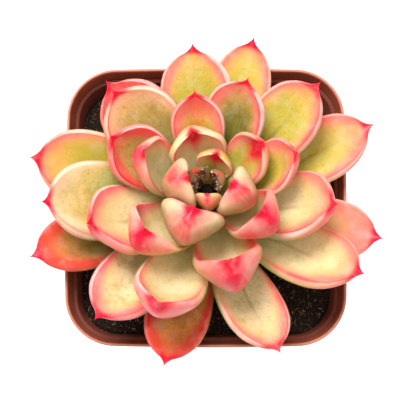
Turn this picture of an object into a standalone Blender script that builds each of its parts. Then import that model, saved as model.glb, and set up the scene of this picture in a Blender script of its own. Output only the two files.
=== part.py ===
"""A rosette succulent with thick pointed leaves, planted in a square moulded pot.

The frame: +Z up, the origin at the middle of the pot's underside, +Y the way that the plant leans.
The driving dimensions are in millimetres and degrees, and the meshes in metres.
"""

import math
from collections import namedtuple

import bmesh
import bpy
import numpy as np
from mathutils import Matrix, Vector
from mathutils.bvhtree import BVHTree

MM = 0.001
GAP = 0.35  # left between pieces that touch

# ---- the pot: a moulded square tub with round corners ----
POT_WIDTH = 90.0  # across the rim, outside
POT_HEIGHT = 80.0
FOOT_WIDTH = 63.0  # across the underside
WALL = 1.3
FLOOR = 2.2
FLOOR_FILLET = 1.5  # between the floor and the walls, inside
RIM_CORNER = 16.2  # corner radius at the rim
FOOT_CORNER = 12.0
COLLAR_HEIGHT = 7.0  # the wider band under the rim
COLLAR_DRAFT = 1.7  # how far the band draws in over its height
COLLAR_STEP = 0.8  # the ledge under the band, inside and out
LIP = 0.9  # width of the rim's top edge
EDGE = 0.3  # rounding of the rim's and the foot's edges
SIDE_BOW = 0.4  # how far each side bulges at its middle
CORNER_STEPS = 8
SIDE_STEPS = 4
PAD_RADIUS = 10.0  # flat pad in the middle of the underside
CHANNEL_WIDTH = 8.0  # raised channel round the pad, where the drain holes are
CHANNEL_DEPTH = 1.0
NOTCH_WIDTH = 6.0  # ways out of the channel, through the foot
DRAIN_COUNT = 6
DRAIN_RADIUS = 2.5
ROUND_STEPS = 40
CUT_PAST = 1.0  # how far a cutter runs past what it cuts

# ---- the soil and the stem ----
SOIL_BELOW_RIM = 12.0
SOIL_DOME = 2.0  # how much higher the soil stands round the stem
SOIL_RINGS = 5
SOIL_SWELL = 0.5  # height of the humps in its surface
SWELL_RUN = 3.3  # their length, over 2 pi
STEM_BURIED = 9.0
STEM_RADIUS = 6.5  # where it leaves the soil
STEM_TOP_RADIUS = 1.6
STEM_SIDES = 16

# ---- the rosette ----
LEAN = 7.0  # tilt of the rosette's axis towards +Y
CROWN_ABOVE_SOIL = 5.0  # height of the lowest leaf's base
CROWN_SIDE = 0.4  # the axis stands this far towards +X
CROWN_HEIGHT = 22.0  # along the axis, from the lowest leaf's base to the highest
CROWN_CROWDING = 0.85  # under 1, the bases get closer together towards the top
LEAF_THICKNESS = 0.27  # of its width
# half of a leaf's outline across, from the middle of its face, over the ridge at its
# margin and its bulging flank, to the keel: share of the half width, share of the thickness
SECTION = ((0.0, 0.15), (0.36, 0.19), (0.68, 0.25), (0.88, 0.25), (1.0, -0.07), (0.72, -0.55), (0.0, -0.85))
RIDGE = 3  # which of these is the ridge
TIP_DROP = 0.05  # how far the tip lies towards the keel, of its width
TIP_START = 0.84  # where the drop starts along the leaf
BASE_BULGE = 0.6  # how far the blunt base stands out towards the stem
# stations along a leaf, with its half width and thickness there as shares of the largest
STATIONS = (0.0, 0.09, 0.21, 0.35, 0.49, 0.62, 0.74, 0.84, 0.915, 0.96, 1.0)
HALF_WIDTH = (0.38, 0.46, 0.62, 0.81, 0.95, 1.0, 0.95, 0.78, 0.47, 0.14, 0.0)
THICKNESS = (0.50, 0.64, 0.82, 0.95, 1.0, 1.0, 0.94, 0.78, 0.52, 0.20, 0.0)

LEAF_AROUND = 2 * (len(SECTION) - 1)

Leaf = namedtuple("Leaf", "name azimuth length width plump cup rise_base rise_tip roll sweep")
# From the lowest leaf to the highest: azimuth anticlockwise from +X, length, width, share of
# LEAF_THICKNESS, rise of the flanks over the middle (of the half width), rise above the rosette's
# plane at the base and at the tip, roll and sideways sweep.
LEAVES = [
    Leaf("outer_leaf_01", 347, 51, 21, 1, 0.2, 9, 22, 0, 0),
    Leaf("outer_leaf_02", 256, 49, 20.5, 1, 0.2, 9, 22, 0, 0),
    Leaf("outer_leaf_03", 196, 53, 20, 1, 0.2, 8, 22, 0, 7),
    Leaf("outer_leaf_04", 125, 45, 24, 1, 0.2, 10, 38, -14, 14),
    Leaf("outer_leaf_05", 74, 50, 20, 1, 0.2, 10, 26, 0, 0),
    Leaf("outer_leaf_06", 23, 53, 21, 1, 0.2, 12, 28, 0, 0),
    Leaf("outer_leaf_07", 161, 53, 24, 1, 0.2, 12, 30, -12, 18),
    Leaf("outer_leaf_08", 289, 52, 20, 1, 0.2, 10, 32, -12, 11),
    Leaf("outer_leaf_09", 228, 50, 22, 1, 0.2, 12, 34, 0, 5),
    Leaf("outer_leaf_10", 325, 52.5, 22, 1, 0.2, 12, 34, -12, 13),
    Leaf("outer_leaf_11", 96, 45, 24, 1, 0.2, 16, 34, -14, 0),
    Leaf("middle_leaf_01", 180.5, 50, 25, 1.1, 0.15, 18, 40, -10, 14),
    Leaf("middle_leaf_02", 130, 42, 25, 1.15, 0.25, 20, 48, -14, 11),
    Leaf("middle_leaf_03", 43, 47, 22, 1.1, 0.2, 20, 36, 0, 0),
    Leaf("middle_leaf_04", 348, 41, 24, 1.1, 0.3, 22, 50, -12, 6),
    Leaf("middle_leaf_05", 250, 50, 22, 1.2, 0.35, 15, 84, 0, 0),
    Leaf("middle_leaf_06", 200, 40, 23, 1.2, 0.3, 24, 52, 6, 0),
    Leaf("middle_leaf_07", 69, 37, 20, 1.1, 0.3, 28, 52, -12, 0),
    Leaf("middle_leaf_08", 155, 36, 20, 1.2, 0.35, 28, 62, -10, 3),
    Leaf("middle_leaf_09", 17, 33, 18, 1.0, 0.3, 30, 66, -8, 0),
    Leaf("middle_leaf_10", 98, 32, 17, 1.15, 0.3, 34, 60, -6, 0),
    Leaf("middle_leaf_11", 285, 39, 21, 1.3, 0.6, 16, 112, 0, 0),
    Leaf("middle_leaf_12", 224, 35.5, 20, 1.3, 0.6, 22, 104, 10, -8),
    Leaf("middle_leaf_13", 34, 26, 16.5, 1.1, 0.3, 40, 72, -6, 0),
    Leaf("middle_leaf_14", 324, 31.5, 18, 1.2, 0.6, 29, 110, 0, 0),
    Leaf("middle_leaf_15", 164, 32, 16.5, 1.15, 0.5, 43, 90, 12, -10),
    Leaf("inner_leaf_01", 108, 22.5, 18, 1.1, 0.5, 50, 78, 0, 0),
    Leaf("inner_leaf_02", 250, 28, 20, 1.5, 0.6, 42, 128, 0, 0),
    Leaf("inner_leaf_03", 335, 25, 16, 1.3, 0.6, 55, 126, 0, 0),
    Leaf("inner_leaf_04", 193, 24, 15.5, 1.3, 0.6, 61, 128, 0, 0),
    Leaf("inner_leaf_05", 70, 16, 12, 1.2, 0.3, 62, 88, 0, 0),
    Leaf("inner_leaf_06", 270, 15, 9, 1.3, 0.5, 66, 116, 0, 0),
    Leaf("bud_leaf_01", 140, 11, 7, 1.3, 0.4, 70, 106, 0, 0),
    Leaf("bud_leaf_02", 32, 10, 7, 1.3, 0.4, 72, 108, 0, 0),
]
RISE_LATE = 1.8  # over 1, a leaf curves up more towards its tip

# ---- how neighbouring leaves press each other aside ----
PRESS_ROUNDS = 160  # at most
PRESS_CLEARANCE = 1.4 * GAP  # kept between the sampled points, so that the facets keep GAP
PRESS_REACH = 0.14  # how deep a crossing can be, of the lower leaf's length
EDGE_SAMPLE = 1.0  # spacing of the points tried along the pot's, the soil's and the stem's edges
PRESS_SETTLED = 0.015  # the leaves are clear when no point has to move further than this
EASE = 0.5  # how much of its neighbours' shift a pressed point takes up
EASE_ROUNDS = 48  # it falls to none over these
PRESS_LOST = 1.0  # leaves still this deep in each other after that are eased again


def material(name, colour, roughness):
    made = bpy.data.materials.new(name)
    made.use_nodes = True
    shader = made.node_tree.nodes["Principled BSDF"]
    shader.inputs["Base Color"].default_value = (*colour, 1)
    shader.inputs["Roughness"].default_value = roughness
    shader.inputs["Metallic"].default_value = 0
    return made


def add_object(name, mesh, look, parent=None, place=(0, 0, 0)):
    """Puts a mesh that is drawn in the part's frame into an object whose origin is at place."""
    mesh.transform(Matrix.Translation(-Vector(place)))
    mesh.materials.append(look)
    made = bpy.data.objects.new(name, mesh)
    made.location = place
    made.parent = parent
    bpy.context.scene.collection.objects.link(made)
    return made


def mesh_of(bm, name, sharp=40):
    mesh = bpy.data.meshes.new(name)
    bm.to_mesh(mesh)
    bm.free()
    mesh.shade_smooth()
    mesh.set_sharp_from_angle(angle=math.radians(sharp))
    return mesh


# ---------------------------------------------------------------- pot
def rounded_square(half, corner, z):
    """Points of a square with round corners and bowed sides, anticlockwise from above."""
    run = half - corner
    points = []
    for quarter in range(4):
        turn = Matrix.Rotation(quarter * math.pi / 2, 3, "Z")
        for step in range(CORNER_STEPS + 1):
            angle = step / CORNER_STEPS * math.pi / 2
            points.append(turn @ Vector((run + corner * math.cos(angle), run + corner * math.sin(angle), z)))
        for step in range(1, SIDE_STEPS):
            along = run * (1 - 2 * step / SIDE_STEPS)
            bow = SIDE_BOW * (1 - (along / run) ** 2)
            points.append(turn @ Vector((along, half + bow, z)))
    return points


def loft(bm, outlines):
    """Joins closed outlines of equal count into one skin, with both ends capped."""
    rings = [[bm.verts.new(point * MM) for point in outline] for outline in outlines]
    for lower, upper in zip(rings, rings[1:]):
        for k in range(len(lower)):
            after = (k + 1) % len(lower)
            bm.faces.new((lower[k], lower[after], upper[after], upper[k]))
    bm.faces.new(list(reversed(rings[0])))
    bm.faces.new(rings[-1])


def body_taper(z):
    """(half width, corner radius) of the tub's outside at a height under the collar."""
    top = POT_HEIGHT - COLLAR_HEIGHT
    share = z / top
    widest = POT_WIDTH / 2 - COLLAR_DRAFT - COLLAR_STEP
    corner = RIM_CORNER - COLLAR_DRAFT - COLLAR_STEP
    return (
        FOOT_WIDTH / 2 + share * (widest - FOOT_WIDTH / 2),
        FOOT_CORNER + share * (corner - FOOT_CORNER),
    )


def cavity(z):
    """(half width, corner radius) of the tub's inside at a height under the collar."""
    half, corner = body_taper(z)
    return half - WALL, corner - WALL


def pot_outlines():
    rim_half = POT_WIDTH / 2
    collar_foot = POT_HEIGHT - COLLAR_HEIGHT
    rings = []

    def ring(half, corner, z):
        rings.append(rounded_square(half, corner, z))

    half, corner = body_taper(0)
    ring(half - EDGE, corner - EDGE, 0)
    for z in (EDGE, collar_foot / 2, collar_foot - EDGE):
        ring(*body_taper(z), z)
    ring(rim_half - COLLAR_DRAFT, RIM_CORNER - COLLAR_DRAFT, collar_foot)
    ring(rim_half, RIM_CORNER, POT_HEIGHT - EDGE)
    ring(rim_half - EDGE, RIM_CORNER - EDGE, POT_HEIGHT)
    inner = rim_half - LIP
    inner_corner = RIM_CORNER - LIP
    ring(inner + EDGE, inner_corner + EDGE, POT_HEIGHT)
    ring(inner, inner_corner, POT_HEIGHT - EDGE)
    ledge = collar_foot + WALL
    share = COLLAR_DRAFT * (POT_HEIGHT - ledge) / COLLAR_HEIGHT
    ring(inner - share, inner_corner - share, ledge)
    for z in (ledge - EDGE, collar_foot / 2, FLOOR + FLOOR_FILLET):
        ring(*cavity(z), z)
    half, corner = cavity(FLOOR)
    ring(half - FLOOR_FILLET, corner - FLOOR_FILLET, FLOOR)
    return rings


def cutter(name, bm):
    mesh = bpy.data.meshes.new(name)
    bm.to_mesh(mesh)
    bm.free()
    made = bpy.data.objects.new(name, mesh)
    made.hide_render = True
    made.display_type = "WIRE"
    bpy.context.scene.collection.objects.link(made)
    return made


def cut(target, tool):
    step = target.modifiers.new(tool.name, "BOOLEAN")
    step.operation = "DIFFERENCE"
    step.object = tool
    step.solver = "EXACT"


def circle(radius, z, steps):
    return [
        Vector((radius * math.cos(a), radius * math.sin(a), z))
        for a in (2 * math.pi * k / steps for k in range(steps))
    ]


def channel_cutter():
    """A square-sectioned ring, open to below, that lifts the drain holes off the table."""
    bm = bmesh.new()
    outer, inner = PAD_RADIUS + CHANNEL_WIDTH, PAD_RADIUS
    section = [(inner, -CUT_PAST), (outer, -CUT_PAST), (outer, CHANNEL_DEPTH), (inner, CHANNEL_DEPTH)]
    rings = [[bm.verts.new(p * MM) for p in circle(r, z, ROUND_STEPS)] for r, z in section]
    for one, other in zip(rings, rings[1:] + rings[:1]):
        for k in range(ROUND_STEPS):
            after = (k + 1) % ROUND_STEPS
            bm.faces.new((one[k], one[after], other[after], other[k]))
    return cutter("channel_cutter", bm)


def notch_cutter():
    """Four short slots from the channel out through the foot."""
    bm = bmesh.new()
    start = PAD_RADIUS + CHANNEL_WIDTH - CUT_PAST
    reach = FOOT_WIDTH / 2 + CUT_PAST - start
    for quarter in range(4):
        turn = Matrix.Rotation(quarter * math.pi / 2, 4, "Z")
        place = Matrix.Translation(Vector((start + reach / 2, 0, (CHANNEL_DEPTH - CUT_PAST) / 2)) * MM)
        size = Matrix.Diagonal((reach * MM, NOTCH_WIDTH * MM, (CHANNEL_DEPTH + CUT_PAST) * MM, 1))
        bmesh.ops.create_cube(bm, size=1, matrix=turn @ place @ size)
    return cutter("notch_cutter", bm)


def drain_cutter():
    bm = bmesh.new()
    for k in range(DRAIN_COUNT):
        angle = 2 * math.pi * (k + 0.5) / DRAIN_COUNT
        radius = PAD_RADIUS + CHANNEL_WIDTH / 2
        place = Vector((radius * math.cos(angle), radius * math.sin(angle), 0)) * MM
        bmesh.ops.create_cone(
            bm,
            cap_ends=True,
            segments=16,
            radius1=DRAIN_RADIUS * MM,
            radius2=DRAIN_RADIUS * MM,
            depth=4 * FLOOR * MM,
            matrix=Matrix.Translation(place),
        )
    return cutter("drain_cutter", bm)


def make_pot():
    bm = bmesh.new()
    loft(bm, pot_outlines())
    pot = add_object("pot", mesh_of(bm, "pot"), material("pot_clay_plastic", (0.42, 0.13, 0.07), 0.4))
    for tool in (channel_cutter(), notch_cutter(), drain_cutter()):
        cut(pot, tool)
    return pot


# ---------------------------------------------------------------- soil and stem
SOIL_TOP = POT_HEIGHT - SOIL_BELOW_RIM
AXIS = Vector((0, math.sin(math.radians(LEAN)), math.cos(math.radians(LEAN))))
ACROSS = Vector((1, 0, 0))
AWAY = AXIS.cross(ACROSS)  # the rosette's own +Y
CROWN = Vector((CROWN_SIDE, 0, SOIL_TOP + SOIL_DOME + CROWN_ABOVE_SOIL))


def stem_radius(height):
    """Radius of the crown's core at a height along the axis above the lowest leaf's base."""
    share = min(1.0, max(0.0, height / CROWN_HEIGHT))
    return STEM_RADIUS + share * (STEM_TOP_RADIUS - STEM_RADIUS)


def make_stem(look, plant):
    rings = []

    def ring(centre, radius, first, second):
        rings.append(
            [
                centre + radius * (first * math.cos(a) + second * math.sin(a))
                for a in (2 * math.pi * k / STEM_SIDES for k in range(STEM_SIDES))
            ]
        )

    soil = SOIL_TOP + SOIL_DOME
    for depth, radius in ((STEM_BURIED, 0.7), (STEM_BURIED / 2, 0.9), (0, 1)):
        centre = Vector((CROWN_SIDE, 0, soil - depth))
        ring(centre, radius * STEM_RADIUS, Vector((1, 0, 0)), Vector((0, 1, 0)))
    for share in (0, 0.3, 0.6, 0.85, 1):
        height = share * CROWN_HEIGHT
        ring(CROWN + AXIS * height, stem_radius(height), ACROSS, AWAY)
    bm = bmesh.new()
    loft(bm, rings)
    return add_object("stem", mesh_of(bm, "stem"), look, plant, CROWN * MM)


def make_soil():
    """Fills the tub to just under the ledge, and leaves a hole for the stem."""
    hole = STEM_RADIUS + GAP
    rings = []
    floor = FLOOR + FLOOR_FILLET + GAP
    for z in (floor, SOIL_TOP / 2, SOIL_TOP):
        half, corner = cavity(z)
        rings.append(rounded_square(half - GAP, corner - GAP, z))
    edge = rings[-1]
    for step in range(1, SOIL_RINGS + 1):
        share = step / SOIL_RINGS
        ring = []
        for point in edge:
            flat = Vector((point.x - CROWN_SIDE, point.y, 0))
            rim = Vector((CROWN_SIDE, 0, 0)) + flat.normalized() * hole
            place = Vector((point.x, point.y, 0)).lerp(rim, share)
            swell = SOIL_SWELL * math.sin(place.x / SWELL_RUN + 1) * math.sin(place.y / SWELL_RUN)
            place.z = SOIL_TOP + SOIL_DOME * math.sin(share * math.pi / 2) + swell * (1 - share)
            ring.append(place)
        rings.append(ring)
    rings.append([Vector((p.x, p.y, SOIL_TOP + SOIL_DOME - STEM_BURIED - GAP)) for p in rings[-1]])
    bm = bmesh.new()
    loft(bm, rings)
    return add_object("soil", mesh_of(bm, "soil"), material("potting_soil", (0.02, 0.013, 0.009), 0.95))


# ---------------------------------------------------------------- leaves
def leaf_rings(leaf, height):
    """Points of a leaf in the part's frame: its base point, the rings, then its tip."""
    azimuth = math.radians(leaf.azimuth)
    start = stem_radius(height) + GAP + BASE_BULGE
    outward = ACROSS * math.cos(azimuth) + AWAY * math.sin(azimuth)
    place = CROWN + AXIS * height + outward * start
    points = []
    before = 0.0
    for station, half_width, thickness in zip(STATIONS, HALF_WIDTH, THICKNESS):
        middle = (before + station) / 2
        for share, advance in ((middle, station - before), (station, 0.0)):
            rise = math.radians(leaf.rise_base + (leaf.rise_tip - leaf.rise_base) * share**RISE_LATE)
            heading = azimuth + math.radians(leaf.sweep) * share
            level = ACROSS * math.cos(heading) + AWAY * math.sin(heading)
            along = level * math.cos(rise) + AXIS * math.sin(rise)
            face = AXIS * math.cos(rise) - level * math.sin(rise)
            place = place + along * (leaf.length * advance)
        tip = max(0.0, (station - TIP_START) / (1 - TIP_START))
        turn = Matrix.Rotation(math.radians(leaf.roll) * min(1.0, station / 0.3), 3, along)
        face = turn @ face
        side = along.cross(face)
        centre = place - face * (TIP_DROP * leaf.width * tip**1.5)
        if station == STATIONS[0]:
            points.append(place - along * BASE_BULGE)
        if station == STATIONS[-1]:
            points.append(centre)
            break
        reach = half_width * leaf.width / 2
        depth = thickness * LEAF_THICKNESS * leaf.plump * leaf.width
        for k in range(LEAF_AROUND):
            across, high = SECTION[min(k, LEAF_AROUND - k)]
            across = across if k <= LEAF_AROUND / 2 else -across
            up = leaf.cup * reach * (across**2 - 0.5) + high * depth
            points.append(centre - side * (reach * across) + face * up)
        before = station
    return points


def leaf_faces():
    rings = len(STATIONS) - 1
    faces = []
    for k in range(LEAF_AROUND):
        after = (k + 1) % LEAF_AROUND
        faces.append((0, 1 + k, 1 + after))
        for ring in range(rings - 1):
            low = 1 + ring * LEAF_AROUND
            high = low + LEAF_AROUND
            faces.append((low + k, high + k, high + after, low + after))
        last = 1 + (rings - 1) * LEAF_AROUND
        faces.append((last + k, last + LEAF_AROUND, last + after))
    return faces


def grid_neighbours():
    """For each point of a leaf, the four points next to it (the ends list one ring)."""
    rings = len(STATIONS) - 1
    count = rings * LEAF_AROUND + 2
    table = np.zeros((count, 4), int)
    for ring in range(rings):
        low = 1 + ring * LEAF_AROUND
        for k in range(LEAF_AROUND):
            inner = low + k - LEAF_AROUND if ring else 0
            outer = low + k + LEAF_AROUND if ring < rings - 1 else count - 1
            table[low + k] = (inner, outer, low + (k + 1) % LEAF_AROUND, low + (k - 1) % LEAF_AROUND)
    table[0] = [1 + k * LEAF_AROUND // 4 for k in range(4)]
    table[-1] = [count - 1 - LEAF_AROUND + k * LEAF_AROUND // 4 for k in range(4)]
    return table


def is_upper(index):
    """Whether a point of a leaf is on the face that looks towards the axis, or on its ridges."""
    around = (index - 1) % LEAF_AROUND
    return min(around, LEAF_AROUND - around) <= RIDGE


def inside(samples, low, high):
    """Which samples lie in a box that is PRESS_CLEARANCE larger than its corners."""
    within = (samples > low - PRESS_CLEARANCE) & (samples < high + PRESS_CLEARANCE)
    return np.nonzero(within.all(axis=1))[0]


def depth_past(point, side, body, reach):
    """How a point lies past one side of a leaf: (way out, distance, face there), or None if it is clear."""
    found, normal, _, _ = side.find_nearest(point, reach)
    if found is None:
        return None
    _, _, face, gone = body.ray_cast(point + normal * reach, -normal, 2 * reach)
    if face is None or reach - gone <= -PRESS_CLEARANCE:
        return None
    return np.array(normal), reach - gone + PRESS_CLEARANCE, face


class Press:
    """One round of pressing: the leaves as they lie, and how far their points have to move."""

    def __init__(self, shapes, faces):
        upper = [f for f in faces if sum(is_upper(i) for i in f) > len(f) / 2]
        lower = [f for f in faces if sum(is_upper(i) for i in f) <= len(f) / 2]
        points = [[Vector(p) for p in shape] for shape in shapes]
        quads = np.array([face for face in faces if len(face) == 4])
        self.faces = faces
        self.bodies = [BVHTree.FromPolygons(p, faces) for p in points]
        self.tops = [BVHTree.FromPolygons(p, upper) for p in points]
        self.backs = [BVHTree.FromPolygons(p, lower) for p in points]
        self.boxes = [(shape.min(0), shape.max(0)) for shape in shapes]
        # a leaf is tried at its own points and at the middles of its faces, which move their corners
        self.samples = [np.vstack([shape, shape[quads].mean(1)]) for shape in shapes]
        self.movers = [[k] for k in range(len(shapes[0]))] + list(quads)
        self.push = [np.zeros_like(shape) for shape in shapes]
        self.hits = [np.zeros((len(shape), 1)) for shape in shapes]
        self.worst = 0.0

    def move(self, leaf, points, step):
        self.push[leaf][points] += step
        self.hits[leaf][points] += 1
        self.worst = max(self.worst, np.linalg.norm(step))

    def against_leaf(self, upper, lower):
        """Two leaves part by half each, at either one's points."""
        reach = PRESS_REACH * LEAVES[lower].length
        for one, other, side in ((upper, lower, self.tops[lower]), (lower, upper, self.backs[upper])):
            for i in inside(self.samples[one], *self.boxes[other]):
                past = depth_past(Vector(self.samples[one][i]), side, self.bodies[other], reach)
                if past is not None:
                    way, distance, face = past
                    self.move(one, self.movers[i], way * distance / 2)
                    self.move(other, list(self.faces[face]), -way * distance / 2)

    def against_obstacle(self, leaf, tree, low, high, edges):
        """A leaf gives way to the pot, the soil or the stem."""
        reach = PRESS_REACH * LEAVES[leaf].length
        for i in inside(edges, *self.boxes[leaf]):
            past = depth_past(Vector(edges[i]), self.backs[leaf], self.bodies[leaf], reach)
            if past is not None:
                way, distance, face = past
                self.move(leaf, list(self.faces[face]), -way * distance)
        for i in inside(self.samples[leaf], low, high):
            point = Vector(self.samples[leaf][i])
            found, normal, _, distance = tree.find_nearest(point)
            if (point - found).dot(normal) < 0:
                distance = -distance
            if distance < PRESS_CLEARANCE:
                self.move(leaf, self.movers[i], np.array(normal) * (PRESS_CLEARANCE - distance))


def press_apart(shapes, faces, obstacles):
    """Moves the points of leaves that touch or cross, until each lies clear above the lower ones."""
    near = grid_neighbours()
    rest = [shape.copy() for shape in shapes]
    eased_from = 0
    for turn in range(PRESS_ROUNDS):
        press = Press(shapes, faces)
        for upper in range(len(shapes)):
            for lower in range(upper):
                press.against_leaf(upper, lower)
            for thing in obstacles:
                press.against_obstacle(upper, *thing)
        if press.worst < PRESS_SETTLED:
            break
        if turn - eased_from > EASE_ROUNDS and press.worst > PRESS_LOST:
            eased_from = turn - EASE_ROUNDS // 2
        ease = EASE * max(0.0, 1 - (turn - eased_from) / EASE_ROUNDS)
        for k in range(len(shapes)):
            shift = shapes[k] + press.push[k] / np.maximum(press.hits[k], 1) - rest[k]
            for _ in range(3):
                shift = shift + ease * (shift[near].mean(1) - shift)
            shapes[k] = rest[k] + shift
    return shapes


def make_leaves(looks, plant, obstacles):
    count = len(LEAVES)
    shapes = []
    for k, leaf in enumerate(LEAVES):
        height = CROWN_HEIGHT * (k / (count - 1)) ** CROWN_CROWDING
        shapes.append(np.array(leaf_rings(leaf, height), float))
    faces = leaf_faces()
    shapes = press_apart(shapes, faces, obstacles)
    for leaf, shape in zip(LEAVES, shapes):
        mesh = bpy.data.meshes.new(leaf.name)
        mesh.from_pydata([Vector(p) * MM for p in shape], [], faces)
        mesh.shade_smooth()
        group = leaf.name.split("_")[0]
        add_object(leaf.name, mesh, looks[group], plant, Vector(shape[0]) * MM)


def obstacle(obj):
    """An object's finished mesh in millimetres: its tree, its box's corners, and points on its edges."""
    graph = bpy.context.evaluated_depsgraph_get()
    made = obj.evaluated_get(graph)
    mesh = made.to_mesh()
    points = [made.matrix_world @ v.co / MM for v in mesh.vertices]
    tree = BVHTree.FromPolygons(points, [tuple(f.vertices) for f in mesh.polygons])
    edges = []
    for edge in mesh.edges:
        start, end = (points[k] for k in edge.vertices)
        count = math.ceil((end - start).length / EDGE_SAMPLE)
        edges += [start.lerp(end, k / count) for k in range(count)]
    made.to_mesh_clear()
    corners = np.array(points)
    return tree, corners.min(0), corners.max(0), np.array(edges)


for old in list(bpy.data.objects):
    bpy.data.objects.remove(old)

pot = make_pot()
soil = make_soil()
plant = bpy.data.objects.new("plant", None)
bpy.context.scene.collection.objects.link(plant)
leaf_looks = {
    "outer": material("outer_leaf_skin", (0.78, 0.36, 0.17), 0.42),
    "middle": material("middle_leaf_skin", (0.80, 0.48, 0.26), 0.4),
    "inner": material("inner_leaf_skin", (0.78, 0.40, 0.28), 0.4),
    "bud": material("bud_leaf_skin", (0.45, 0.22, 0.12), 0.45),
}
stem = make_stem(material("stem_bark", (0.30, 0.22, 0.10), 0.7), plant)
bpy.context.view_layer.update()
make_leaves(leaf_looks, plant, [obstacle(pot), obstacle(soil), obstacle(stem)])
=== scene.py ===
import math
from collections import namedtuple

import bmesh
import bpy
import numpy as np
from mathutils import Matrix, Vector


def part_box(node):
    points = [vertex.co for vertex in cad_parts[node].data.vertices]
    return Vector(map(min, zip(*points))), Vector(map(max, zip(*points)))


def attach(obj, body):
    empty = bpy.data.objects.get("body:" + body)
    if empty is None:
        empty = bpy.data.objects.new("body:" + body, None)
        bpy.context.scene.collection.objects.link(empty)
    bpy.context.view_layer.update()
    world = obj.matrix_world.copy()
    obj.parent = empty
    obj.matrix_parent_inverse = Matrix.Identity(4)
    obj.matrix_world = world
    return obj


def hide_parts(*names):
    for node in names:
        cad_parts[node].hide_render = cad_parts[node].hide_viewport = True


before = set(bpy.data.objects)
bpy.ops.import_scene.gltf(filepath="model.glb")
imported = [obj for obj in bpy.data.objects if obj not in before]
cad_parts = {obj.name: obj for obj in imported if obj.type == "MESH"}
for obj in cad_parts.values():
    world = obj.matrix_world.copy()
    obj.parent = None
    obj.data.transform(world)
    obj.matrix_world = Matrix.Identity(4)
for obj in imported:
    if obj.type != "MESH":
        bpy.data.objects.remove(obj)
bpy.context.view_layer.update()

# ---------------------------------------------------------------- the pot
# A square tub with round corners and a collar under its rim, injection moulded in satin,
# clay-coloured plastic. It stands on a foot with a channel, and drains through six holes.
MM = 0.001  # the pot's and the soil's sizes are in millimetres, heights in a material in metres
RIM_CORNER = 16.2
FOOT_HALF, FOOT_CORNER = 31.5, 12.0
COLLAR_HEIGHT = 7.0
COLLAR_DRAFT = 1.7
COLLAR_STEP = 0.8
POT_WALL = 1.3
POT_FLOOR = 2.2
LIP = 0.9
SIDE_BOW = 0.4
CORNER_STEPS, SIDE_STEPS = 16, 10
CHANNEL_MIDDLE, CHANNEL_WIDTH, CHANNEL_DEPTH = 14.0, 8.0, 1.0
NOTCH_WIDTH = 6.0
DRAIN_HOLES, DRAIN_RADIUS = 6, 2.5
ROUNDING_STEPS = 5
NOTCH_REACH = FOOT_HALF + 3.0  # past the foot's edge, so that a notch cuts right through
DRILL_SIDES, DRILL_DEPTH = 24, 20.0
CHANNEL_STEPS = 72
NOTCH_START = 0.45  # a notch starts inside the channel, this share of its width from the middle
HIGHLIGHT_FROM, HIGHLIGHT_ALL = 0.0786, 0.0797  # heights between which the rim's painted highlight comes in
UNSHADED_ABOVE, SHADED_BELOW = 0.0753, 0.0745  # and heights between which painted shade darkens the ledge inside it
SHARP_EDGE = math.radians(50)
WELD = 1e-6


class Wires:
    """Adds nodes to a tree, with their sockets set to a value or wired to another node."""

    def __init__(self, tree):
        self.tree = tree

    def add(self, kind, sockets=None, **settings):
        node = self.tree.nodes.new(kind)
        for name, value in settings.items():
            setattr(node, name, value)
        for key, value in (sockets or {}).items():
            for one in value if isinstance(value, list) else [value]:
                if isinstance(one, bpy.types.NodeSocket):
                    self.tree.links.new(one, node.inputs[key])
                else:
                    node.inputs[key].default_value = one
        return node.outputs

    def math(self, operation, first, second=0.0):
        return self.add("ShaderNodeMath", {0: first, 1: second}, operation=operation)[0]

    def product(self, *values):
        made = values[0]
        for value in values[1:]:
            made = self.math("MULTIPLY", made, value)
        return made

    def total(self, *values):
        made = values[0]
        for value in values[1:]:
            made = self.math("ADD", made, value)
        return made

    def vector(self, operation, first, second):
        return self.add("ShaderNodeVectorMath", {0: first, 1: second}, operation=operation)[0]

    def scaled(self, vector, factor):
        return self.add("ShaderNodeVectorMath", {0: vector, "Scale": factor}, operation="SCALE")[0]

    def ramp(self, value, start, end, low=0.0, high=1.0):
        """A soft step from low to high as the value goes from start to end."""
        sockets = {0: value, 1: start, 2: end, 3: low, 4: high}
        return self.add("ShaderNodeMapRange", sockets, interpolation_type="SMOOTHSTEP")[0]

    def mix(self, share, first, second):
        """A colour that goes from the first to the second with the share."""
        return self.add("ShaderNodeMix", {0: share, 6: first, 7: second}, data_type="RGBA")[2]

    def noise(self, place, scale, detail=2.0, roughness=0.5):
        sockets = {"Vector": place, "Scale": scale, "Detail": detail, "Roughness": roughness}
        return self.add("ShaderNodeTexNoise", sockets)["Fac"]

    def xyz(self, vector):
        return self.add("ShaderNodeSeparateXYZ", {0: vector})

    def combine(self, x, y, z):
        return self.add("ShaderNodeCombineXYZ", {0: x, 1: y, 2: z})[0]


def new_tree(name, kind, inputs, outputs):
    """A node group with inputs {name: (socket type, value)} and outputs {name: socket type}."""
    tree = bpy.data.node_groups.new(name, kind)
    for label, (socket, value) in inputs.items():
        made = tree.interface.new_socket(label, in_out="INPUT", socket_type=socket)
        if value is not None:
            made.default_value = value
    for label, socket in outputs.items():
        tree.interface.new_socket(label, in_out="OUTPUT", socket_type=socket)
    wires = Wires(tree)
    return tree, wires, wires.add("NodeGroupInput"), tree.nodes.new("NodeGroupOutput").inputs


def finished(wires, geometry, material):
    """The end of a Geometry Nodes tree: real faces in their material."""
    real = wires.add("GeometryNodeRealizeInstances", {0: geometry})[0]
    return wires.add("GeometryNodeSetMaterial", {"Geometry": real, "Material": material})[0]


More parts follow.
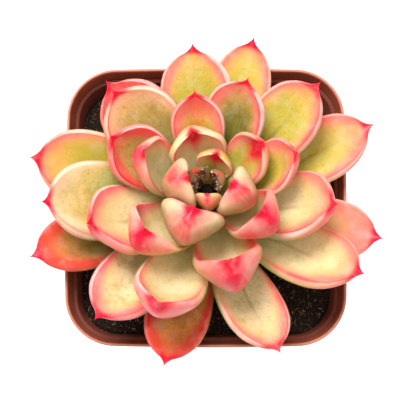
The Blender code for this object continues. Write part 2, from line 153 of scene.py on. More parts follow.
def grown(name, tree, source, **values):
    """The object that a Geometry Nodes tree makes from a mesh, as a plain mesh of its own."""
    made = bpy.data.objects.new(name, source)
    bpy.context.scene.collection.objects.link(made)
    step = made.modifiers.new(name, "NODES")
    step.node_group = tree
    for item in tree.interface.items_tree:
        key = item.name.lower().replace(" ", "_")
        if item.in_out == "INPUT" and key in values:
            step[item.identifier] = values[key]
    graph = bpy.context.evaluated_depsgraph_get()
    mesh = bpy.data.meshes.new_from_object(made.evaluated_get(graph), depsgraph=graph)
    made.modifiers.remove(step)
    made.data = mesh
    mesh.name = name
    for slot in reversed(range(len(mesh.materials))):
        if mesh.materials[slot] is None:
            mesh.materials.pop(index=slot)
    return made


def screen(red, green, blue):
    """A colour given as a screen shows it, from 0 to 255, as the shader's linear values."""

    def linear(share):
        return share / 12.92 if share <= 0.04045 else ((share + 0.055) / 1.055) ** 2.4

    return (linear(red / 255), linear(green / 255), linear(blue / 255), 1.0)


def new_material(name, sockets):
    """A material whose shader has these plain values, with its wires and its shader's inputs."""
    made = bpy.data.materials.new(name)
    made.use_nodes = True
    shader = made.node_tree.nodes["Principled BSDF"]
    for label, value in sockets.items():
        shader.inputs[label].default_value = value
    return made, Wires(made.node_tree), shader.inputs


def dress(wires, shader, colour, roughness, height, strength, distance):
    """Wires a finish's colour, roughness and relief to its shader."""
    relief = {"Strength": strength, "Distance": distance, "Height": height}
    bump = wires.add("ShaderNodeBump", relief)[0]
    for label, output in (("Base Color", colour), ("Roughness", roughness), ("Normal", bump)):
        wires.tree.links.new(output, shader[label])


def clay_plastic():
    """Satin plastic with faint flow marks, a painted highlight on the rim and painted shade on the
    ledge just inside it.
    """
    made, wires, shader = new_material("clay_plastic", {"Specular IOR Level": 0.45})
    place = wires.add("ShaderNodeTexCoord")["Object"]
    height = wires.xyz(place)[2]
    flow = wires.noise(wires.vector("MULTIPLY", place, (300, 300, 30)), 1.0, 2.0)
    cloud = wires.noise(place, 60.0, 3.0)
    rim_highlight = wires.ramp(height, HIGHLIGHT_FROM, HIGHLIGHT_ALL)
    ledge_shade_height = wires.ramp(height, UNSHADED_ABOVE, SHADED_BELOW)
    colour = wires.mix(wires.ramp(flow, 0.35, 0.75), screen(164, 86, 62), screen(154, 78, 56))
    colour = wires.mix(wires.ramp(cloud, 0.4, 0.7, 0.0, 0.3), colour, screen(142, 70, 50))
    # painted highlight: the top of the rim is mixed paler, where light falls on it
    colour = wires.mix(wires.product(rim_highlight, 0.7), colour, screen(206, 124, 98))
    # painted shade: the upward faces of the ledge inside the rim are mixed darker and made rougher
    upward = wires.xyz(wires.add("ShaderNodeNewGeometry")["True Normal"])[2]
    shaded_ledge = wires.product(ledge_shade_height, wires.ramp(upward, 0.02, 0.3))
    colour = wires.mix(shaded_ledge, colour, screen(112, 54, 38))
    satin = wires.ramp(cloud, 0.3, 0.8, 0.3, 0.46)
    matt = wires.total(satin, wires.product(shaded_ledge, 0.5))
    dress(wires, shader, colour, matt, wires.noise(place, 2600.0, 2.0), 0.12, 0.0001)
    return made


def pot_profile(rim_half, height):
    """The tub's section from foot to floor: points of half width, corner radius and height."""
    body_half = rim_half - COLLAR_DRAFT - COLLAR_STEP
    body_corner = RIM_CORNER - COLLAR_DRAFT - COLLAR_STEP
    collar_foot = height - COLLAR_HEIGHT
    ledge = collar_foot + POT_WALL
    inner_draft = COLLAR_DRAFT * (height - ledge) / COLLAR_HEIGHT

    def inside(z):
        share = z / collar_foot
        half = FOOT_HALF + share * (body_half - FOOT_HALF)
        return half - POT_WALL, FOOT_CORNER + share * (body_corner - FOOT_CORNER) - POT_WALL, z

    corners = [  # the same three, and how far the section is rounded there
        (0, 0, 0, 0),
        (FOOT_HALF, FOOT_CORNER, 0, 0.8),
        (body_half, body_corner, collar_foot, 0.2),
        (rim_half - COLLAR_DRAFT, RIM_CORNER - COLLAR_DRAFT, collar_foot, 0.35),
        (rim_half, RIM_CORNER, height, 0.42),
        (rim_half - LIP, RIM_CORNER - LIP, height, 0.42),
        (rim_half - LIP - inner_draft, RIM_CORNER - LIP - inner_draft, ledge, 0.3),
        (*inside(ledge), 0.5),
        (*inside(POT_FLOOR), 2.0),
        (0, 0, POT_FLOOR, 0),
    ]
    line = []
    for k, (*place, rounding) in enumerate(corners):
        corner = Vector(place)
        if rounding == 0:
            line.append(corner)
            continue
        start = corner + (Vector(corners[k - 1][:3]) - corner).normalized() * rounding
        end = corner + (Vector(corners[k + 1][:3]) - corner).normalized() * rounding
        for step in range(ROUNDING_STEPS + 1):
            share = step / ROUNDING_STEPS
            line.append(start.lerp(corner, share).lerp(corner.lerp(end, share), share))
    return [point * MM for point in line]


def tub_tree():
    """Drags a section round a square with round corners, then cuts the drain and the channel."""
    tree, wires, given, result = new_tree(
        "square_tub",
        "GeometryNodeTree",
        {
            "Section": ("NodeSocketGeometry", None),
            "Corner Steps": ("NodeSocketInt", 16),
            "Side Steps": ("NodeSocketInt", 10),
            "Side Bow": ("NodeSocketFloat", 0.0),
            "Drain Holes": ("NodeSocketInt", 6),
            "Drain Radius": ("NodeSocketFloat", 0.0025),
            "Channel Middle": ("NodeSocketFloat", 0.014),
            "Channel Width": ("NodeSocketFloat", 0.008),
            "Channel Depth": ("NodeSocketFloat", 0.001),
            "Notch Width": ("NodeSocketFloat", 0.006),
            "Notch Reach": ("NodeSocketFloat", 0.035),
            "Material": ("NodeSocketMaterial", None),
        },
        {"Tub": "NodeSocketGeometry"},
    )
    points = wires.add("GeometryNodeAttributeDomainSize", {0: given["Section"]})["Point Count"]
    last = wires.math("SUBTRACT", points, 1)
    quarter_steps = wires.total(given["Corner Steps"], given["Side Steps"])
    around = wires.product(quarter_steps, 4)
    lines = wires.total(around, 1)
    grid = wires.add(
        "GeometryNodeMeshGrid",
        {"Size X": last, "Size Y": around, "Vertices X": points, "Vertices Y": lines},
    )["Mesh"]
    flat = wires.xyz(wires.add("GeometryNodeInputPosition")[0])
    row = wires.math("ROUND", wires.total(flat[0], wires.math("DIVIDE", last, 2)))
    turn = wires.math("ROUND", wires.total(flat[1], wires.math("DIVIDE", around, 2)))
    in_section = wires.add("GeometryNodeInputPosition")[0]
    sampled = wires.add(
        "GeometryNodeSampleIndex",
        {"Geometry": given["Section"], "Value": in_section, "Index": row},
        data_type="FLOAT_VECTOR",
    )[0]
    half, corner, height = wires.xyz(sampled)
    quarter = wires.math("FLOOR", wires.math("DIVIDE", turn, quarter_steps))
    step = wires.math("SUBTRACT", turn, wires.product(quarter, quarter_steps))
    bent = wires.math("MINIMUM", step, given["Corner Steps"])
    angle = wires.product(wires.math("DIVIDE", bent, given["Corner Steps"]), math.pi / 2)
    straight = wires.math("MAXIMUM", wires.math("SUBTRACT", step, given["Corner Steps"]), 0)
    along = wires.math("DIVIDE", straight, given["Side Steps"])
    run = wires.math("SUBTRACT", half, corner)
    middle = wires.product(along, wires.math("SUBTRACT", 1, along), 4)
    size = wires.math("MINIMUM", wires.product(half, 100), 1)
    bow = wires.product(middle, given["Side Bow"], size)
    x = wires.total(
        wires.product(run, wires.math("SUBTRACT", 1, wires.product(along, 2))),
        wires.product(corner, wires.math("COSINE", angle)),
    )
    y = wires.total(run, wires.product(corner, wires.math("SINE", angle)))
    place = wires.add(
        "ShaderNodeVectorRotate",
        {
            "Vector": wires.combine(x, wires.total(y, bow), height),
            "Angle": wires.product(quarter, math.pi / 2),
        },
        rotation_type="Z_AXIS",
    )[0]
    skin = wires.add("GeometryNodeSetPosition", {"Geometry": grid, "Position": place})[0]
    skin = wires.add("GeometryNodeMergeByDistance", {"Geometry": skin, "Distance": WELD})[0]

    middle, width = given["Channel Middle"], given["Channel Width"]
    drill = wires.add(
        "GeometryNodeMeshCylinder",
        {"Vertices": DRILL_SIDES, "Radius": given["Drain Radius"], "Depth": DRILL_DEPTH * MM},
    )["Mesh"]
    holes = {"Vertices": given["Drain Holes"], "Radius": middle}
    ring = wires.add("GeometryNodeMeshCircle", holes)[0]
    drills = wires.add("GeometryNodeInstanceOnPoints", {"Points": ring, "Instance": drill})[0]
    drills = wires.add("GeometryNodeRealizeInstances", {0: drills})[0]
    between = {"Geometry": drills, "Rotation": (0, 0, math.pi / 6)}
    drills = wires.add("GeometryNodeTransform", between)[0]
    path = wires.add(
        "GeometryNodeCurvePrimitiveCircle", {"Resolution": CHANNEL_STEPS, "Radius": middle}
    )[0]
    twice = wires.product(given["Channel Depth"], 2)
    blade = {"Width": width, "Height": twice}
    blade = wires.add("GeometryNodeCurvePrimitiveQuadrilateral", blade)[0]
    channel = wires.add("GeometryNodeCurveToMesh", {"Curve": path, "Profile Curve": blade})[0]
    outer = wires.total(middle, wires.product(width, NOTCH_START))
    reach = wires.math("SUBTRACT", given["Notch Reach"], outer)
    bar_size = wires.combine(reach, given["Notch Width"], twice)
    bar = wires.add("GeometryNodeMeshCube", {"Size": bar_size})["Mesh"]
    seat = wires.total(outer, wires.math("DIVIDE", reach, 2))
    seats = wires.add("GeometryNodeMeshCircle", {"Vertices": 4, "Radius": seat})[0]
    index = wires.add("GeometryNodeInputIndex")[0]
    turned = wires.combine(0.0, 0.0, wires.product(index, math.pi / 2))
    notches = wires.add(
        "GeometryNodeInstanceOnPoints", {"Points": seats, "Instance": bar, "Rotation": turned}
    )[0]
    notches = wires.add("GeometryNodeRealizeInstances", {0: notches})[0]
    cut = wires.add(
        "GeometryNodeMeshBoolean",
        {"Mesh 1": skin, "Mesh 2": [drills, channel, notches]},
        operation="DIFFERENCE",
        solver="EXACT",
    )["Mesh"]
    tree.links.new(finished(wires, cut, given["Material"]), result["Tub"])
    return tree


_, pot_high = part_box("pot")
section = bpy.data.meshes.new("tub_section")
section.from_pydata(pot_profile(pot_high.x / MM - SIDE_BOW, pot_high.z / MM), [], [])
pot = grown(
    "moulded_pot",
    tub_tree(),
    section,
    corner_steps=CORNER_STEPS,
    side_steps=SIDE_STEPS,
    side_bow=SIDE_BOW * MM,
    drain_holes=DRAIN_HOLES,
    drain_radius=DRAIN_RADIUS * MM,
    channel_middle=CHANNEL_MIDDLE * MM,
    channel_width=CHANNEL_WIDTH * MM,
    channel_depth=CHANNEL_DEPTH * MM,
    notch_width=NOTCH_WIDTH * MM,
    notch_reach=NOTCH_REACH * MM,
    material=clay_plastic(),
)
pot.data.shade_smooth()
pot.data.set_sharp_from_angle(angle=SHARP_EDGE)
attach(pot, "root")
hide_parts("pot")

# ---------------------------------------------------------------- the soil
# Dark peat potting mix, filled to a finger's width under the rim and settled round the stem.
# Crumbs, straw-coloured root fibres and pale grains of sand lie loose on top of it.
CRUMBS, FIBRES, GRAINS = 1.2, 0.75, 1.1  # on each square millimetre
CRUMB_SIZE = (0.25, 0.95)
FIBRE_LENGTH = (0.7, 2.6)
FIBRE_THICKNESS = 0.1
GRAIN_SIZE = (0.09, 0.24)
HEAPED, HEAP_SCALE = 0.55, 330.0
BED_LEVEL = 3
FEW_BIG_ONES = 2.2  # the higher, the more of the strewn pieces are small
LEAST_SHAPE, MOST_SHAPE = (0.55, 0.55, 0.4), (1.0, 1.0, 0.9)  # how flat a strewn piece may be
SQUARE_METRE = 1e6  # in square millimetres
FIBRE_POINTS, FIBRE_BEND, FIBRE_HOOK = 6, 0.9, 0.12


def peat(name, dark, light, roughness):
    """Matt, earthy stuff whose pieces run from a dark to a light colour, each by its own shade."""
    made, wires, shader = new_material(name, {"Specular IOR Level": 0.2})
    place = wires.add("ShaderNodeTexCoord")["Object"]
    shade = wires.add("ShaderNodeAttribute", attribute_name="shade")["Fac"]
    mottle = wires.noise(place, 900.0, 3.0)
    share = wires.product(wires.total(shade, mottle), 0.5)
    colour = wires.mix(wires.ramp(share, 0.25, 0.8), dark, light)
    earthy = wires.ramp(mottle, 0.2, 0.8, roughness - 0.1, roughness)
    dress(wires, shader, colour, earthy, mottle, 0.5, 0.0003)
    return made


def merged_copy(node):
    """A CAD node's mesh as a new mesh whose triangles share their corners."""
    bm = bmesh.new()
    bm.from_mesh(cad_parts[node].data)
    bmesh.ops.remove_doubles(bm, verts=bm.verts, dist=WELD)
    mesh = bpy.data.meshes.new(node + "_copy")
    bm.to_mesh(mesh)
    bm.free()
    return mesh


def heap_tree():
    """Divides the bed's skin finely and lifts its top into small heaps."""
    tree, wires, given, result = new_tree(
        "heaped_bed",
        "GeometryNodeTree",
        {
            "Bed": ("NodeSocketGeometry", None),
            "Level": ("NodeSocketInt", 3),
            "Heaped": ("NodeSocketFloat", 0.0005),
            "Material": ("NodeSocketMaterial", None),
        },
        {"Bed": "NodeSocketGeometry"},
    )
    fine = wires.add("GeometryNodeSubdivideMesh", {"Mesh": given["Bed"], "Level": given["Level"]})[0]
    upward = wires.xyz(wires.add("GeometryNodeInputNormal")[0])[2]
    place = wires.add("GeometryNodeInputPosition")[0]
    height = wires.math("SUBTRACT", wires.noise(place, HEAP_SCALE, 4.0, 0.65), 0.55)
    lift = wires.product(height, given["Heaped"], wires.ramp(upward, 0.4, 0.8), 3.0)
    offset = wires.combine(0.0, 0.0, lift)
    moved = wires.add("GeometryNodeSetPosition", {"Geometry": fine, "Offset": offset})[0]
    tree.links.new(finished(wires, moved, given["Material"]), result["Bed"])
    return tree


def strewn_tree(name, shape):
    """Strews a shape over a bed's upward faces: shape(wires, given) draws it one unit long."""
    tree, wires, given, result = new_tree(
        name,
        "GeometryNodeTree",
        {
            "Bed": ("NodeSocketGeometry", None),
            "Count": ("NodeSocketFloat", 1.0),
            "Least": ("NodeSocketFloat", 0.0003),
            "Most": ("NodeSocketFloat", 0.001),
            "Thickness": ("NodeSocketFloat", 0.1),
            "Tilt": ("NodeSocketFloat", 3.0),
            "Upward": ("NodeSocketFloat", 0.5),
            "Seed": ("NodeSocketInt", 0),
            "Material": ("NodeSocketMaterial", None),
        },
        {"Pieces": "NodeSocketGeometry"},
    )
    upward = wires.xyz(wires.add("GeometryNodeInputNormal")[0])[2]
    points = wires.add(
        "GeometryNodeDistributePointsOnFaces",
        {
            "Mesh": given["Bed"],
            "Selection": wires.math("GREATER_THAN", upward, given["Upward"]),
            "Density": wires.product(given["Count"], SQUARE_METRE),
            "Seed": given["Seed"],
        },
    )["Points"]

    def drawn(low, high, shift, kind="FLOAT"):
        """Each piece's own random number or vector, from low to high."""
        first, output = (2, 1) if kind == "FLOAT" else (0, 0)
        seed = wires.total(given["Seed"], shift)
        sockets = {first: low, first + 1: high, "Seed": seed}
        return wires.add("FunctionNodeRandomValue", sockets, data_type=kind)[output]

    share = wires.math("POWER", drawn(0.0, 1.0, 1), FEW_BIG_ONES)
    spread = wires.math("SUBTRACT", given["Most"], given["Least"])
    size = wires.total(given["Least"], wires.product(share, spread))
    stretch = wires.scaled(drawn(LEAST_SHAPE, MOST_SHAPE, 2, "FLOAT_VECTOR"), size)
    tipped = wires.product(drawn(-1.0, 1.0, 3), given["Tilt"])
    leant = wires.product(drawn(-1.0, 1.0, 4), given["Tilt"])
    turn = wires.combine(tipped, leant, drawn(0.0, 2 * math.pi, 5))
    pieces = wires.add(
        "GeometryNodeInstanceOnPoints",
        {"Points": points, "Instance": shape(wires, given), "Rotation": turn, "Scale": stretch},
    )[0]
    pieces = wires.add(
        "GeometryNodeStoreNamedAttribute",
        {"Geometry": pieces, "Name": "shade", "Value": drawn(0.0, 1.0, 6)},
        data_type="FLOAT",
        domain="INSTANCE",
    )[0]
    tree.links.new(finished(wires, pieces, given["Material"]), result["Pieces"])
    return tree


def crumb(wires, given):
    """A ball pushed out of shape, for a crumb or a grain of sand."""
    ball = wires.add("GeometryNodeMeshIcoSphere", {"Radius": 0.5, "Subdivisions": 1})[0]
    place = wires.add("GeometryNodeInputPosition")[0]
    rough = wires.math("SUBTRACT", wires.noise(place, 3.0, 1.0), 0.5)
    moved = wires.scaled(place, wires.product(rough, 1.1))
    return wires.add("GeometryNodeSetPosition", {"Geometry": ball, "Offset": moved})[0]


def fibre(wires, given):
    """A thin thread with a bend along it and a hook at its ends."""
    step = (1 / (FIBRE_POINTS - 1), 0, 0)
    line = wires.add(
        "GeometryNodeMeshLine",
        {"Count": FIBRE_POINTS, "Start Location": (-0.5, 0, 0), "Offset": step},
    )[0]
    along = wires.xyz(wires.add("GeometryNodeInputPosition")[0])[0]
    bend = wires.product(along, along, FIBRE_BEND)
    hook = wires.product(wires.math("SINE", wires.product(along, 5.0)), FIBRE_HOOK)
    offset = wires.combine(0.0, bend, hook)
    line = wires.add("GeometryNodeSetPosition", {"Geometry": line, "Offset": offset})[0]
    thread = wires.add("GeometryNodeMeshToCurve", {0: line})[0]
    section = wires.add(
        "GeometryNodeCurvePrimitiveCircle", {"Resolution": 3, "Radius": given["Thickness"]}
    )[0]
    return wires.add(
        "GeometryNodeCurveToMesh", {"Curve": thread, "Profile Curve": section, "Fill Caps": True}
    )[0]


soil = grown(
    "potting_mix",
    heap_tree(),
    merged_copy("soil"),
    level=BED_LEVEL,
    heaped=HEAPED * MM,
    material=peat("peat_bed", screen(30, 21, 15), screen(62, 46, 33), 0.98),
)
soil.data.shade_smooth()
crumbs = grown(
    "peat_crumbs",
    strewn_tree("strewn_crumbs", crumb),
    soil.data.copy(),
    count=CRUMBS,
    least=CRUMB_SIZE[0] * MM,
    most=CRUMB_SIZE[1] * MM,
    seed=3,
    material=peat("peat_crumb", screen(20, 14, 10), screen(74, 54, 38), 0.95),
)
fibres = grown(
    "root_fibres",
    strewn_tree("strewn_fibres", fibre),
    soil.data.copy(),
    count=FIBRES,
    least=FIBRE_LENGTH[0] * MM,
    most=FIBRE_LENGTH[1] * MM,
    thickness=FIBRE_THICKNESS / 2,
    tilt=0.7,
    seed=11,
    material=peat("dry_fibre", screen(92, 66, 44), screen(206, 170, 122), 0.8),
)
grains = grown(
    "sand_grains",
    strewn_tree("strewn_grains", crumb),
    soil.data.copy(),
    count=GRAINS,
    least=GRAIN_SIZE[0] * MM,
    most=GRAIN_SIZE[1] * MM,
    seed=23,
    material=peat("pale_grain", screen(120, 92, 62), screen(222, 200, 164), 0.7),
)
for piece in (soil, crumbs, fibres, grains):
    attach(piece, "root")
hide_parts("soil")

# ---------------------------------------------------------------- the stem
# The short woody stem that the rosette sits on. It stands in the soil, and dry leaf bases
# ring it all the way up.
RING_SPACING = 0.0019
SHADED_FROM, SHADED_ALL = 0.08, 0.093  # heights between which the stem darkens into the bud


def stem_bark():
    """Brown and green bark, ringed at every old leaf base, dark where the bud shades it."""
    made, wires, shader = new_material("ringed_bark", {"Specular IOR Level": 0.1})
    place = wires.add("ShaderNodeTexCoord")["Object"]
    height = wires.xyz(place)[2]
    wander = wires.noise(place, 260.0, 3.0)
    turns = wires.total(wires.math("DIVIDE", height, RING_SPACING), wander)
    ring = wires.ramp(wires.math("PINGPONG", turns, 0.5), 0.05, 0.35)
    colour = wires.mix(ring, screen(92, 70, 40), screen(150, 132, 78))
    colour = wires.mix(wires.ramp(wander, 0.45, 0.7), colour, screen(120, 128, 62))
    colour = wires.mix(wires.ramp(height, SHADED_FROM, SHADED_ALL), colour, screen(18, 10, 5))
    dress(wires, shader, colour, wires.ramp(wander, 0.3, 0.7, 0.6, 0.9), ring, 0.7, 0.0004)
    return made


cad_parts["stem"].data.materials.clear()
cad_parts["stem"].data.materials.append(stem_bark())

# ---------------------------------------------------------------- the outer leaves
# Thick, waxy, pointed leaves that lie out over the rim. Each has a hollow face between two
# ridges, a pale flank outside them and a keel below, and grows from the stem by its blunt base.
AROUND = 12  # points on a ring of a leaf's CAD solid, from the middle of its face round its keel
RIDGE, KEEL = 3, 6  # which of them are a ridge and the keel
FINE_ALONG, FINE_AROUND = 6, 6  # steps between two points of the solid
RIDGE_SHARPNESS = 0.6
POINT_LENGTH = 0.0009  # of the hard little point beyond the solid's tip
THORN = 1.5  # how straight that point runs out
STREAKS = 14.0  # how finely the skin is streaked from base to tip

# A leaf's colours, from its base up its face and over its ridge to its back, and their shares.
COLOURS = "Base Middle Flush Rim Flank Back"
SHARES = "Flush_From Arch Far_Rim Near_Rim Band Crease Speckle Streak Stroke"
Skin = namedtuple("Skin", COLOURS + " " + SHARES, defaults=(0.0, 0.0))
SEED_STEP = 0.37  # how far one leaf's pattern lies from the next one's
OLIVE, MOSS, LIME = screen(126, 116, 40), screen(146, 150, 66), screen(196, 178, 62)
PALE_GREEN, CREAM, STRAW = screen(190, 190, 110), screen(244, 218, 170), screen(222, 192, 84)
TAN, PEACH, SALMON = screen(176, 148, 78), screen(248, 196, 146), screen(250, 140, 122)
ORANGE, VERMILION, CORAL = screen(236, 116, 60), screen(228, 80, 54), screen(250, 104, 96)
PINK, BLUSH, ROSE = screen(252, 132, 130), screen(255, 222, 212), screen(248, 64, 80)
CRIMSON, GOLD, FRECKLE = screen(240, 4, 52), screen(246, 196, 104), screen(120, 100, 38)
PALE_STREAK, FOLD_SHADE = screen(252, 240, 190), screen(140, 132, 40)
WAX_BLOOM = screen(255, 244, 224)


def ring_order(verts):
    """A closed ring of points in the order that their edges join them."""
    left = set(verts)
    line = [verts[0]]
    left.remove(verts[0])
    while left:
        after = next(v for e in line[-1].link_edges for v in [e.other_vert(line[-1])] if v in left)
        line.append(after)
        left.remove(after)
    return line


def aligned(ring, before):
    """The ring started and turned so that its points follow on from those of the ring before it."""
    turns = [(line[k:] + line[:k]) for line in (ring, ring[::-1]) for k in range(AROUND)]
    return min(turns, key=lambda line: sum((a.co - b.co).length for a, b in zip(line, before)))


def leaf_rings(node, crown):
    """A leaf's base, its rings, each from the middle of its face to the near side, and its tip."""
    bm = bmesh.new()
    bm.from_mesh(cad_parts[node].data)
    bmesh.ops.remove_doubles(bm, verts=bm.verts, dist=WELD)
    poles = [v for v in bm.verts if len(v.link_edges) == AROUND]
    base, tip = sorted(poles, key=lambda v: (v.co - crown).length)
    seen = {base}
    rings = []
    layer = [e.other_vert(base) for e in base.link_edges]
    while tip not in layer:
        ring = ring_order(layer)
        rings.append(aligned(ring, rings[-1]) if rings else ring)
        seen.update(layer)
        layer = list({e.other_vert(v) for v in layer for e in v.link_edges} - seen)
    rings = np.array([[v.co for v in ring] for ring in rings])
    base, tip = np.array(base.co), np.array(tip.co)
    bm.free()
    chords = [rings[:, (k + 2) % AROUND] - rings[:, k - 2] for k in range(AROUND)]
    widths = [np.linalg.norm(chord, axis=1).sum() for chord in chords]
    rings = np.roll(rings, KEEL - int(np.argmax(widths)), axis=1)
    along = rings[-1].mean(0) - rings[0].mean(0)
    face = (rings[:, 0] - rings[:, KEEL]).mean(0)
    far = (rings[:, RIDGE] - rings[:, AROUND - RIDGE]).mean(0)
    if np.dot(np.cross(along, face), far) > 0:
        rings = rings[:, -np.arange(AROUND)]
    return base, rings, tip


def smooth_line(points, knots, slopes_in, slopes_out, steps):
    """A cubic through rows of points at the knots, with each row's own slope on each side."""
    made = []
    for k in range(len(points) - 1):
        run = knots[k + 1] - knots[k]
        for step in range(steps):
            t = step / steps
            made.append(
                (2 * t**3 - 3 * t**2 + 1) * points[k]
                + (t**3 - 2 * t**2 + t) * run * slopes_out[k]
                + (3 * t**2 - 2 * t**3) * points[k + 1]
                + (t**3 - t**2) * run * slopes_in[k + 1]
            )
    return np.array(made + [points[-1]])


def slopes(points, knots):
    """Slopes before, after and through each row, for a line whose ends run on straight."""
    steps = np.diff(knots).reshape((-1,) + (1,) * (points.ndim - 1))
    chords = np.diff(points, axis=0) / steps
    before = np.concatenate([chords[:1], chords])
    after = np.concatenate([chords, chords[-1:]])
    weight = np.concatenate([steps[:1], steps])
    other = np.concatenate([steps, steps[-1:]])
    return before, after, (before * other + after * weight) / (weight + other)


def leaf_skin_mesh(name, base, rings, tip):
    """The fine skin over a leaf's solid, through all the solid's points, with crisp ridges."""
    # across: close each ring with two more points at either end, so that its slopes run round
    wrapped = np.concatenate([rings[:, -2:], rings, rings[:, :3]], axis=1).transpose(1, 0, 2)
    gaps = np.linalg.norm(np.diff(wrapped, axis=0), axis=2).mean(1)
    knots = np.concatenate([[0], np.cumsum(gaps)])
    before, after, through = slopes(wrapped, knots)
    into, out = through.copy(), through.copy()
    for ridge in (RIDGE + 2, AROUND - RIDGE + 2):
        into[ridge] += RIDGE_SHARPNESS * (before[ridge] - into[ridge])
        out[ridge] += RIDGE_SHARPNESS * (after[ridge] - out[ridge])
    inner = slice(2, AROUND + 3)
    fine = smooth_line(wrapped[inner], knots[inner], into[inner], out[inner], FINE_AROUND)[:-1]
    columns = len(fine)
    # along: from the base point over the rings to the tip, drawn out to a thorn
    ahead = tip - rings[-1].mean(0)
    tip = tip + POINT_LENGTH * ahead / np.linalg.norm(ahead)
    ends = [np.repeat(end[None, None], columns, 1) for end in (base, tip)]
    rows = np.concatenate([ends[0], fine.transpose(1, 0, 2), ends[1]])
    gaps = np.linalg.norm(np.diff(rows, axis=0), axis=2).mean(1)
    knots = np.concatenate([[0], np.cumsum(gaps)])
    _, _, through = slopes(rows, knots)
    into = through.copy()
    into[-1] = (tip - rings[-1].mean(0)) / (knots[-1] - knots[-2]) * THORN
    skin = smooth_line(rows, knots, into, through, FINE_ALONG)
    even = np.ones(len(knots))
    shares = smooth_line(knots, knots, even, even, FINE_ALONG) / knots[-1]
    count = len(skin) - 1
    points = np.concatenate([skin[:1, 0], skin[1:count].reshape(-1, 3), skin[count:, 0]])
    faces, corners = [], []
    for row in range(count):
        for column in range(columns):
            beside = column + 1
            low, high = 1 + (row - 1) * columns, 1 + row * columns
            side = ((column + 0.5) / columns, column / columns, beside / columns)
            if row == 0:
                faces.append((0, high + column, high + beside % columns))
                corners += [(shares[0], side[0]), (shares[1], side[1]), (shares[1], side[2])]
            elif row == count - 1:
                faces.append((low + column, len(points) - 1, low + beside % columns))
                corners += [(shares[row], side[1]), (shares[count], side[0]), (shares[row], side[2])]
            else:
                beyond = beside % columns
                faces.append((low + column, high + column, high + beyond, low + beyond))
                corners += [(shares[row], side[1]), (shares[row + 1], side[1])]
                corners += [(shares[row + 1], side[2]), (shares[row], side[2])]
    mesh = bpy.data.meshes.new(name)
    mesh.from_pydata(points, [], faces)
    mesh.uv_layers.new(name="leaf").data.foreach_set("uv", np.array(corners).ravel())
    mesh.shade_smooth()
    return mesh


